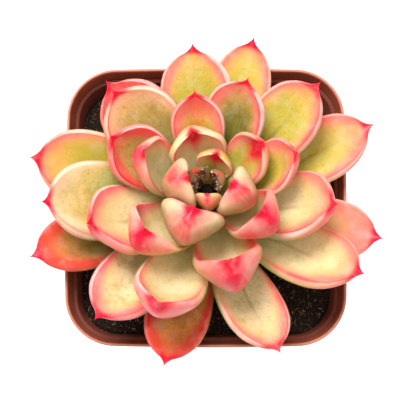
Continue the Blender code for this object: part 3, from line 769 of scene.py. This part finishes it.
def succulent_skin():
    """Colour, roughness and relief of a sun-flushed leaf, from its UV map and its own place."""
    inputs = {label: ("NodeSocketColor", (1, 1, 1, 1)) for label in [*COLOURS.split(), "Tip"]}
    for label in [*SHARES.split(), "Seed"]:
        inputs[label.replace("_", " ")] = ("NodeSocketFloat", 0.0)
    tree, wires, given, result = new_tree(
        "succulent_skin",
        "ShaderNodeTree",
        inputs,
        {"Color": "NodeSocketColor", "Roughness": "NodeSocketFloat", "Height": "NodeSocketFloat"},
    )
    product, total = wires.product, wires.total
    place = wires.add("ShaderNodeTexCoord")["Object"]
    along, round_it, _ = wires.xyz(wires.add("ShaderNodeUVMap", uv_map="leaf")["UV"])
    # side: from the middle of the face (0) over a ridge (0.5) to the keel (1)
    far = wires.math("GREATER_THAN", round_it, 0.5)
    near = wires.math("SUBTRACT", 1, far)
    across = wires.math("SUBTRACT", round_it, far)
    side = product(wires.math("ABSOLUTE", across), 2)
    shifted = wires.vector("ADD", place, wires.combine(given["Seed"], 0.0, 0.0))
    drift = wires.math("SUBTRACT", wires.noise(shifted, 110.0, 2.0), 0.5)
    turn = product(round_it, 2 * math.pi)
    streaky = wires.combine(
        total(product(along, 5), product(given["Seed"], 7)),
        product(wires.math("COSINE", turn), STREAKS),
        product(wires.math("SINE", turn), STREAKS),
    )
    grain = wires.noise(streaky, 1.0, 2.0)
    brushed = wires.math("SUBTRACT", grain, 0.5)

    rim_side = total(product(near, given["Near Rim"]), product(far, given["Far Rim"]))
    to_ridge = wires.math("MINIMUM", product(side, 2.0), 1.0)
    risen = wires.ramp(total(along, product(drift, 0.3)), 0.1, 0.5)
    colour = wires.mix(risen, given["Base"], given["Middle"])
    arched = product(wires.math("POWER", to_ridge, 2.4), given["Arch"])
    arched = product(arched, total(0.55, product(rim_side, 0.9)))
    reach = total(along, arched, product(drift, 0.22), product(brushed, 0.07))
    past = wires.math("SUBTRACT", reach, given["Flush From"])
    flush = wires.ramp(past, -0.04, 0.24)
    colour = wires.mix(wires.ramp(past, -0.16, 0.06, 0.0, 0.5), colour, GOLD)
    colour = wires.mix(flush, colour, given["Flush"])
    ripe = wires.ramp(total(along, product(drift, 0.15)), 0.74, 1.0)
    colour = wires.mix(product(ripe, 0.55), colour, given["Rim"])
    # freckles, pale streaks and clouds where the face is still green, and painted shade in the fold
    # down it
    specks = wires.ramp(wires.noise(shifted, 1100.0, 3.0, 0.75), 0.52, 0.68)
    unripe = wires.math("SUBTRACT", 1, product(flush, 0.6))
    colour = wires.mix(product(specks, unripe, given["Speckle"], 0.5), colour, FRECKLE)
    strokes = wires.ramp(grain, 0.5, 0.8)
    colour = wires.mix(product(strokes, unripe, 0.08), colour, PALE_STREAK)
    clouds = wires.ramp(wires.noise(shifted, 230.0, 3.0, 0.6), 0.42, 0.68)
    colour = wires.mix(product(clouds, unripe, 0.4), colour, given["Base"])
    bend = wires.noise(wires.combine(product(along, 5.0), given["Seed"], 0.0), 1.0, 1.0)
    wander = product(wires.math("SUBTRACT", bend, 0.5), 0.05)
    folded = product(
        wires.ramp(wires.math("ABSOLUTE", total(across, wander)), 0.022, 0.002),
        wires.ramp(along, 0.15, 0.35),
        wires.ramp(along, 0.78, 0.5),
    )
    # painted shade: a darker olive line where the face folds
    colour = wires.mix(product(folded, given["Crease"], 0.6), colour, FOLD_SHADE)
    # the red line on a ridge and the glow inside it
    ridge_gap = total(wires.math("SUBTRACT", side, 0.5), product(drift, 0.03))
    grown_red = wires.ramp(total(along, product(drift, 0.3)), 0.22, 0.62)
    inside = total(wires.math("SUBTRACT", 0.5, side), product(drift, 0.16), product(brushed, 0.08))
    glow = product(wires.ramp(inside, 0.3, 0.0), wires.math("LESS_THAN", side, 0.5))
    colour = wires.mix(product(glow, rim_side, grown_red, 0.7), colour, given["Flush"])
    close = product(wires.ramp(inside, 0.12, 0.0), wires.math("LESS_THAN", side, 0.5))
    colour = wires.mix(product(close, rim_side, grown_red, 0.7), colour, given["Rim"])
    line = wires.ramp(wires.math("ABSOLUTE", ridge_gap), 0.035, 0.008)
    line = product(line, rim_side, grown_red)
    colour = wires.mix(product(line, 0.85), colour, given["Rim"])
    # the flank outside the ridge, then the back
    outside = wires.ramp(total(side, product(drift, 0.04)), 0.505, 0.555)
    banded = total(product(far, given["Band"]), product(near, given["Band"], 0.5))
    pale = product(banded, wires.ramp(drift, -0.2, 0.1, 0.35, 1.0))
    ripened = total(along, product(brushed, 0.12), product(drift, 0.3))
    ripened = wires.ramp(ripened, 0.5, 1.0, 0.0, 0.5)
    flank = wires.mix(wires.ramp(along, 0.35, 0.7), given["Base"], given["Flank"])
    flank = wires.mix(ripened, flank, given["Flush"])
    colour = wires.mix(product(outside, pale), colour, flank)
    lower = wires.ramp(total(side, product(drift, 0.1)), 0.56, 0.7)
    upper = total(along, product(drift, 0.4))
    back = wires.mix(wires.ramp(upper, 0.5, 0.88), given["Base"], given["Back"])
    back = wires.mix(wires.ramp(upper, 0.72, 0.95, 0.0, 0.8), back, given["Flush"])
    colour = wires.mix(lower, colour, back)
    # the red streak down the keel in its rosy halo, and the stroke on the face
    ragged = total(product(brushed, 0.1), product(drift, 0.3))
    ragged_side, ragged_along = total(side, ragged), total(along, ragged)
    halo = product(wires.ramp(ragged_side, 0.66, 0.96), wires.ramp(ragged_along, 0.5, 0.85))
    colour = wires.mix(product(halo, given["Streak"], 0.75), colour, given["Rim"])
    streak = product(wires.ramp(ragged_side, 0.86, 0.99), wires.ramp(ragged_along, 0.62, 0.86))
    colour = wires.mix(product(streak, given["Streak"]), colour, given["Tip"])
    from_tip = total(ragged_side, wires.math("SUBTRACT", 1, along))
    stroke = product(wires.ramp(from_tip, 0.62, 0.3), given["Stroke"])
    colour = wires.mix(stroke, colour, given["Tip"])
    # the hard little point, and the wax over it all
    point = wires.ramp(total(along, product(side, 0.012), product(drift, 0.04)), 0.875, 0.935)
    colour = wires.mix(point, colour, given["Tip"])
    bloom = wires.ramp(wires.noise(shifted, 240.0, 3.0, 0.6), 0.45, 0.75, 0.0, 0.14)
    colour = wires.mix(bloom, colour, WAX_BLOOM)
    tree.links.new(colour, result["Color"])
    rough = wires.noise(place, 700.0, 3.0)
    waxy = wires.ramp(rough, 0.3, 0.7, 0.33, 0.5)
    tree.links.new(total(waxy, product(point, -0.08)), result["Roughness"])
    pinched = product(folded, given["Crease"], -1.2)
    tree.links.new(total(product(rough, 0.4), product(brushed, 0.25), pinched), result["Height"])
    return tree


skin_group = succulent_skin()


def leaf_material(name, skin, seed):
    """One leaf's own colouring of the skin that they all share."""
    made, wires, shader = new_material(
        name + "_skin",
        {
            "Subsurface Weight": 0.12,
            "Subsurface Radius": (1.0, 0.45, 0.25),
            "Subsurface Scale": 0.0025,
            "Specular IOR Level": 0.42,
        },
    )
    values = {label.replace("_", " "): value for label, value in skin._asdict().items()}
    values.update(Tip=CRIMSON, Seed=SEED_STEP * seed)
    group = wires.tree.nodes.new("ShaderNodeGroup")
    group.node_tree = skin_group
    for label, value in values.items():
        group.inputs[label].default_value = value
    colour, roughness, height = group.outputs
    dress(wires, shader, colour, roughness, height, 0.35, 0.0002)
    return made


crown = max((v.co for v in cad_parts["stem"].data.vertices), key=lambda place: place.z).copy()
leaves = {}


def grow_leaf(node, skin):
    """A fine skin over one CAD leaf, in its own colours, which stands in for it."""
    name = node.replace("_leaf_", "_succulent_leaf_")
    mesh = leaf_skin_mesh(name, *leaf_rings(node, crown))
    leaf = bpy.data.objects.new(name, mesh)
    bpy.context.scene.collection.objects.link(leaf)
    mesh.materials.append(leaf_material(name, skin, len(leaves)))
    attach(leaf, "root")
    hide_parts(node)
    leaves[node] = leaf


# One row a leaf, in the order of COLOURS and SHARES.
OUTER = [
    Skin(PEACH, PEACH, SALMON, ROSE, BLUSH, SALMON, 0.6, 0.35, 0.7, 0.5, 0.3, 0.1, 0.3),
    Skin(OLIVE, ORANGE, VERMILION, CRIMSON, SALMON, CORAL, 0.7, 0.4, 0.8, 0.7, 0.3, 0.1, 1.0),
    Skin(OLIVE, OLIVE, VERMILION, CRIMSON, CORAL, CORAL, 0.66, 0.4, 0.8, 0.5, 0.3, 0.1, 1.0),
    Skin(ORANGE, ORANGE, CORAL, ROSE, BLUSH, SALMON, 0.6, 0.3, 0.5, 0.8, 0.9, 0.0, 0.3),
    Skin(LIME, LIME, SALMON, CORAL, BLUSH, PEACH, 0.8, 0.35, 0.8, 0.5, 0.6, 0.3, 0.6),
    Skin(PALE_GREEN, LIME, SALMON, ROSE, BLUSH, SALMON, 0.74, 0.35, 0.6, 0.5, 0.8, 0.9, 0.6),
    Skin(LIME, LIME, SALMON, ROSE, BLUSH, PEACH, 0.8, 0.3, 0.5, 0.7, 1.0, 0.0, 0.5),
    Skin(MOSS, CREAM, SALMON, ROSE, BLUSH, PEACH, 0.8, 0.35, 0.4, 0.9, 0.8, 0.8, 0.6),
    Skin(OLIVE, CREAM, PINK, ROSE, BLUSH, PINK, 0.76, 0.4, 0.5, 0.6, 0.8, 0.3, 0.7),
    Skin(PALE_GREEN, CREAM, SALMON, ROSE, PEACH, SALMON, 0.74, 0.3, 0.9, 0.4, 0.9, 0.5, 0.5),
    Skin(LIME, LIME, SALMON, CORAL, BLUSH, BLUSH, 0.84, 0.45, 0.7, 0.8, 0.7, 0.2, 0.7),
]
for number, skin in enumerate(OUTER, 1):
    grow_leaf(f"outer_leaf_{number:02d}", skin)

# ---------------------------------------------------------------- the middle leaves
# The next turns of the spiral stand up more steeply, shorter and fatter than the outer ones.
# They have had more sun, so their ridges and points are redder and their flanks show more.
MIDDLE = [
    Skin(MOSS, PALE_GREEN, CREAM, SALMON, BLUSH, SALMON, 0.7, 0.4, 0.1, 0.9, 0.7, 0.2, 0.9),
    Skin(OLIVE, TAN, PEACH, ROSE, BLUSH, PINK, 0.7, 0.45, 0.4, 1.0, 1.0, 0.1, 0.9),
    Skin(PALE_GREEN, LIME, SALMON, ROSE, BLUSH, SALMON, 0.82, 0.35, 0.8, 0.5, 0.8, 0.9, 0.7),
    Skin(PALE_GREEN, CREAM, SALMON, ROSE, BLUSH, SALMON, 0.7, 0.3, 0.8, 0.4, 0.9, 0.6, 0.5),
    Skin(PALE_GREEN, CREAM, PINK, ROSE, BLUSH, PINK, 0.78, 0.2, 0.6, 0.5, 0.9, 0.1, 0.5, 0.3),
    Skin(PALE_GREEN, CREAM, PINK, ROSE, BLUSH, PINK, 0.72, 0.35, 0.6, 1.0, 0.8, 0.8, 0.5, 0.3),
    Skin(OLIVE, OLIVE, SALMON, ROSE, BLUSH, BLUSH, 0.76, 0.45, 0.9, 1.0, 1.0, 0.3, 0.6),
    Skin(OLIVE, TAN, CORAL, CRIMSON, BLUSH, PINK, 0.72, 0.5, 0.7, 1.0, 0.9, 0.0, 0.9, 0.3),
    Skin(MOSS, LIME, SALMON, ROSE, BLUSH, PINK, 0.7, 0.5, 0.9, 0.5, 0.9, 0.0, 0.6, 0.3),
    Skin(MOSS, LIME, SALMON, ROSE, BLUSH, PINK, 0.68, 0.5, 0.9, 1.0, 0.9, 0.1, 0.8, 0.3, 0.5),
    Skin(PALE_GREEN, CREAM, CORAL, ROSE, BLUSH, PINK, 0.6, 0.3, 0.8, 0.8, 0.5, 0.0, 0.3, 0.9),
    Skin(LIME, CREAM, PINK, ROSE, BLUSH, PEACH, 0.6, 0.3, 0.8, 0.8, 0.9, 0.0, 0.3, 0.9),
    Skin(MOSS, LIME, SALMON, ROSE, BLUSH, PEACH, 0.66, 0.4, 0.7, 0.6, 0.8, 0.0, 0.5, 0.5, 1.0),
    Skin(PALE_GREEN, CREAM, CORAL, ROSE, BLUSH, PINK, 0.6, 0.3, 0.8, 0.5, 0.8, 0.0, 0.3, 0.9),
    Skin(PALE_GREEN, CREAM, SALMON, ROSE, BLUSH, PEACH, 0.7, 0.3, 0.6, 0.6, 0.7, 0.0, 0.4, 1.0),
]
for number, skin in enumerate(MIDDLE, 1):
    grow_leaf(f"middle_leaf_{number:02d}", skin)

# ---------------------------------------------------------------- the inner leaves and the bud
# The youngest leaves still fold in over the crown, so mostly their backs show: cream and green
# below, peach above, with a blood-red stroke down the keel from the point. The bud is darker.
UMBER, GARNET = screen(66, 34, 20), screen(138, 16, 26)
INNER = [
    Skin(PALE_GREEN, CREAM, PEACH, ROSE, BLUSH, CREAM, 0.5, 0.4, 0.4, 0.8, 0.8, 0.0, 0.4, 0.5, 1.0),
    Skin(MOSS, CREAM, PINK, ROSE, BLUSH, CREAM, 0.6, 0.3, 0.5, 0.5, 0.8, 0.0, 0.3, 0.9),
    Skin(MOSS, CREAM, PINK, ROSE, BLUSH, CREAM, 0.6, 0.3, 0.5, 0.5, 0.8, 0.0, 0.3, 1.0),
    Skin(MOSS, CREAM, PEACH, ROSE, BLUSH, CREAM, 0.6, 0.3, 0.3, 0.3, 0.8, 0.0, 0.3, 1.0),
    Skin(OLIVE, STRAW, PEACH, ROSE, BLUSH, STRAW, 0.6, 0.3, 0.4, 0.4, 0.6, 0.0, 0.5, 0.8, 1.0),
    Skin(OLIVE, STRAW, PEACH, ROSE, PEACH, PEACH, 0.7, 0.3, 0.3, 0.3, 0.6, 0.0, 0.4, 1.0),
]
BUD = [
    Skin(UMBER, UMBER, GARNET, GARNET, OLIVE, TAN, 0.4, 0.4, 0.6, 0.6, 0.2, 0.0, 0.8, 0.3),
    Skin(UMBER, UMBER, GARNET, GARNET, OLIVE, TAN, 0.4, 0.4, 0.6, 0.6, 0.2, 0.0, 0.8, 0.3),
]
for number, skin in enumerate(INNER, 1):
    grow_leaf(f"inner_leaf_{number:02d}", skin)
for number, skin in enumerate(BUD, 1):
    grow_leaf(f"bud_leaf_{number:02d}", skin)

# ---------------------------------------------------------------- the dew
# Beads of water, white all through, partly from wax and partly as a painted glint, left in the heart
# of the rosette:
# on the bud, on the faces of the leaves round it, and in the fold in front of the biggest inner
# leaf.
# Where on a leaf: its length from and to, then round it from its face (0) to its keel (1).
DEW_AT = {
    "bud_leaf_01": (0.2, 1.0, 0.0, 0.6),
    "bud_leaf_02": (0.2, 1.0, 0.0, 0.6),
    "inner_leaf_05": (0.1, 0.45, 0.0, 0.5),
    "inner_leaf_06": (0.3, 0.9, 0.0, 0.5),
    "middle_leaf_11": (0.48, 0.62, 0.0, 0.22),
    "inner_leaf_02": (0.3, 0.42, 0.8, 1.0),
}
BEADS, BEAD_SIZE = 1.3, (0.2, 0.7)


def bead(wires, given):
    """A round drop, which strewn_tree squashes a little."""
    return wires.add("GeometryNodeMeshIcoSphere", {"Radius": 0.5, "Subdivisions": 3})[0]


def water():
    """Water whitened partly by the wax of the leaves and partly as a painted glint, with a glassy
    coat.
    """
    made, wires, shader = new_material(
        "waxy_dew",
        {
            # painted glint: a white base colour over the whole bead, not only where light catches it
            "Base Color": (1, 1, 1, 1),
            "Subsurface Weight": 0.3,
            "Subsurface Scale": 0.0005,
            "Coat Weight": 1.0,
        },
    )
    place = wires.add("ShaderNodeTexCoord")["Object"]
    cloud = wires.noise(place, 1200.0, 2.0)
    wires.tree.links.new(wires.ramp(cloud, 0.4, 0.7, 0.04, 0.18), shader["Roughness"])
    return made


def wet_patches():
    """The parts of the leaves' skins that the dew lies on, as one mesh."""
    together = bmesh.new()
    for node, (start, end, inner, outer) in DEW_AT.items():
        bm = bmesh.new()
        bm.from_mesh(leaves[node].data)
        places = bm.loops.layers.uv["leaf"]
        dry = []
        for face in bm.faces:
            corners = [loop[places].uv for loop in face.loops]
            along, round_it = sum(corners, Vector((0, 0))) / len(corners)
            side = min(round_it, 1 - round_it) * 2
            if not (start < along < end and inner <= side < outer):
                dry.append(face)
        bmesh.ops.delete(bm, geom=dry, context="FACES")
        patch = bpy.data.meshes.new("wet_" + node)
        bm.to_mesh(patch)
        bm.free()
        together.from_mesh(patch)
    mesh = bpy.data.meshes.new("wet_patches")
    together.to_mesh(mesh)
    together.free()
    return mesh


dew = grown(
    "dew_beads",
    strewn_tree("strewn_beads", bead),
    wet_patches(),
    count=BEADS,
    least=BEAD_SIZE[0] * MM,
    most=BEAD_SIZE[1] * MM,
    upward=-1.0,
    seed=5,
    material=water(),
)
dew.data.shade_smooth()
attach(dew, "root")

# ---------------------------------------------------------------- the studio
# A white floor under two large soft lights, one behind the plant and one above it, with white
# all round. The camera looks down on the plant, a little from the front.
CAMERA_HEIGHT_ANGLE = 82.0
CAMERA_DISTANCE = 0.55
AIM = Vector((0.0007, -0.0006, 0.080))
LENS = 148.0
FLOOR_HALF, FLOOR_GLOW = 2.0, 0.85
ROOM_LIGHT = 0.32


def studio_light(name, place, size, power, aim=(0, 0, 0.08)):
    light = bpy.data.lights.new(name, "AREA")
    light.shape = "DISK"
    light.size = size
    light.energy = power
    lamp = bpy.data.objects.new(name, light)
    lamp.location = place
    lamp.rotation_euler = (Vector(place) - Vector(aim)).to_track_quat("Z", "Y").to_euler()
    bpy.context.scene.collection.objects.link(lamp)


floor_mesh = bpy.data.meshes.new("studio_floor")
floor_square = ((-1, -1), (1, -1), (1, 1), (-1, 1))
floor_corners = [(x * FLOOR_HALF, y * FLOOR_HALF, 0) for x, y in floor_square]
floor_mesh.from_pydata(floor_corners, [], [(0, 1, 2, 3)])
floor_look, _, _ = new_material(
    "lit_white_floor",
    {
        "Base Color": (0.6, 0.6, 0.6, 1),
        "Roughness": 0.9,
        "Emission Color": (1, 1, 1, 1),
        "Emission Strength": FLOOR_GLOW,
    },
)
floor_mesh.materials.append(floor_look)
floor = bpy.data.objects.new("studio_floor", floor_mesh)
bpy.context.scene.collection.objects.link(floor)

studio_light("key_light", (-0.2, 0.4, 0.9), 0.5, 10.0)
studio_light("top_light", (0.15, -0.1, 1.1), 0.9, 3.5)
world = bpy.data.worlds.new("white_room")
world.use_nodes = True
room = world.node_tree.nodes["Background"].inputs
room["Color"].default_value = (1, 0.99, 0.98, 1)
room["Strength"].default_value = ROOM_LIGHT
bpy.context.scene.world = world
bpy.context.scene.view_settings.view_transform = "Standard"

lens = bpy.data.cameras.new("camera")
lens.lens = LENS
lens.sensor_width = 36.0
camera = bpy.data.objects.new("camera", lens)
angle = math.radians(CAMERA_HEIGHT_ANGLE)
back = Vector((0, -math.cos(angle), math.sin(angle)))
camera.location = AIM + back * CAMERA_DISTANCE
camera.rotation_euler = (-back).to_track_quat("-Z", "Y").to_euler()
bpy.context.scene.collection.objects.link(camera)
bpy.context.scene.camera = camera
